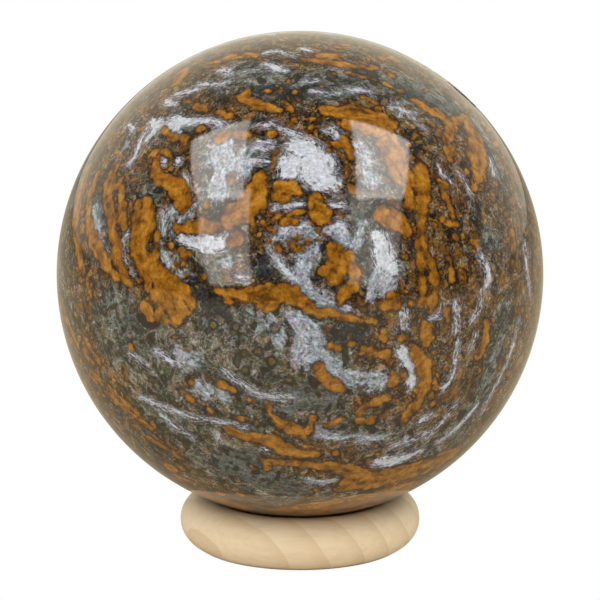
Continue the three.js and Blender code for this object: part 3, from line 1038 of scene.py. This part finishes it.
joint = times(ease(total(joints, swing(fray, 0.5)), 0.14, -0.02),
              ease(cloud(calm_place, 3.0, 2.0), 0.45, 0.62))
jasper = dye(times(joint, 0.35), jasper, mineral(92, 56, 20))
colour = dye(rind, colour, mineral(36, 28, 19))
colour = dye(ochre, colour, jasper)

# a fine grain in every mineral, and a slight play of hue, both weaker in the ochre and the white
vivid = calc("MAXIMUM", ochre, white)
grit = both(cloud(flow, 0.8, 3.0, 0.7), cloud(place, 0.6, 3.0, 0.7))
grit = total(1.0, times(swing(grit, 5.0), ease(vivid, 0.0, 1.0, 1.0, 0.45)))
colour = dye(1.0, colour, grit, "MULTIPLY")
play = cloud(place, 2.0, 2.0, 0.5, output="Color")
colour = dye(ease(vivid, 0.0, 1.0, 0.35, 0.12), colour, play, "SOFT_LIGHT")

# the vug's torn, dull inside, coloured dark: partly its own dark mineral, partly painted shade in the hollow
torn_inside = times(on_skin("vug"), total(1.0, swing(fray, 1.5), swing(wobble, 2.0)))
vug_dull_and_shaded = ease(torn_inside, 0.3, 0.6)
# painted shade: the hollow's inside is darkened, both for its dark mineral and for the shade that falls in
# it
colour = dye(times(vug_dull_and_shaded, 0.85), colour, mineral(54, 46, 42))

# a mirror polish that is a little uneven, and dull and rough in the vug
polish = total(ease(fray, 0.35, 0.65, 0.035, 0.075), times(vug_dull_and_shaded, 0.75))
relief = node("ShaderNodeBump")
relief.inputs["Strength"].default_value = 0.25
relief.inputs["Distance"].default_value = 0.02 * MM
feed(relief.inputs["Height"], total(fray, times(times(vug_dull_and_shaded, crumbs), 20.0)))
shader = node("ShaderNodeBsdfPrincipled")
shader.inputs["IOR"].default_value = 1.54
feed(shader.inputs["Base Color"], colour)
feed(shader.inputs["Roughness"], polish)
feed(shader.inputs["Normal"], relief.outputs[0])
stone_out = node("ShaderNodeOutputMaterial")
feed(stone_out.inputs["Surface"], shader.outputs[0])

ball_mesh.materials.append(stone)
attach(ball, "root")
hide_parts("stone_sphere")


# ---- The ring stand --------------------------------------------------------------------------
# One ring turned from a pale, close-grained wood, round in section, sanded smooth and left bare.
# Its underside is sanded flat so that it stands still.
ring_steps = 256
section_steps = 72
ring_top = ring_high[2] - ring_low[2]
sanded_off = 0.3 * MM
section_radius = (ring_top + sanded_off) / 2
section_middle = (ring_high[0] - ring_low[0]) / 2 - section_radius
layer_thickness = 7.5
across_layers = (0.70, 0.50, 0.51)
pore_size = 1.1
pores_drawn_out = (0.12, 1.0, 1.0)

turn_angles = np.linspace(0, 2 * math.pi, ring_steps, endpoint=False)
section_angles = np.linspace(0, 2 * math.pi, section_steps, endpoint=False)
around, over = np.meshgrid(turn_angles, section_angles, indexing="ij")
outward = section_middle + section_radius * np.cos(over)
height = np.maximum(section_radius * np.sin(over) + section_radius - sanded_off, 0)
ring_points = np.stack([outward * np.cos(around), outward * np.sin(around), height], -1).reshape(-1, 3)
turn_index, section_index = np.meshgrid(np.arange(ring_steps), np.arange(section_steps), indexing="ij")
this_turn = turn_index * section_steps
next_turn = (turn_index + 1) % ring_steps * section_steps
next_section = (section_index + 1) % section_steps
ring_faces = np.stack([this_turn + section_index, next_turn + section_index,
                       next_turn + next_section, this_turn + next_section], -1)
ring_mesh = bpy.data.meshes.new("turned_ring")
ring_mesh.from_pydata(ring_points, [], ring_faces.reshape(-1, 4).tolist())
ring_mesh.shade_smooth()
ring = bpy.data.objects.new("turned_ring", ring_mesh)
bpy.context.collection.objects.link(ring)

# growth layers that the round section cuts across, and fine pores along the grain
wood = bare_material("bare_pale_wood")
tree = wood.node_tree
place = place_in_mm()
bent = shift(place, cloud(place, 30.0, 2.0, output="Color"), 6.0)
layer_run = node("ShaderNodeVectorMath", operation="DOT_PRODUCT")
feed(layer_run.inputs[0], bent)
feed(layer_run.inputs[1], across_layers)
layer = calc("FRACT", calc("DIVIDE", layer_run.outputs["Value"], layer_thickness))
pale = shades(layer, (0.0, 216, 196, 163), (0.6, 212, 191, 157), (0.97, 203, 179, 143),
              (1.0, 216, 196, 163), colour_of=tint)
along_grain = node("ShaderNodeVectorMath", operation="MULTIPLY")
feed(along_grain.inputs[0], place)
feed(along_grain.inputs[1], pores_drawn_out)
pores = cloud(along_grain.outputs[0], pore_size, 4.0, 0.6)
pale = dye(ease(pores, 0.40, 0.70, 0.0, 0.35), pale, tint(197, 171, 134))
wood_relief = node("ShaderNodeBump")
wood_relief.inputs["Strength"].default_value = 0.3
wood_relief.inputs["Distance"].default_value = 0.03 * MM
feed(wood_relief.inputs["Height"], pores)
wood_shader = node("ShaderNodeBsdfPrincipled")
feed(wood_shader.inputs["Base Color"], pale)
feed(wood_shader.inputs["Roughness"], ease(pores, 0.3, 0.7, 0.46, 0.58))
feed(wood_shader.inputs["Normal"], wood_relief.outputs[0])
wood_out = node("ShaderNodeOutputMaterial")
feed(wood_out.inputs["Surface"], wood_shader.outputs[0])

ring_mesh.materials.append(wood)
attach(ring, "root")
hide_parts("ring_stand")
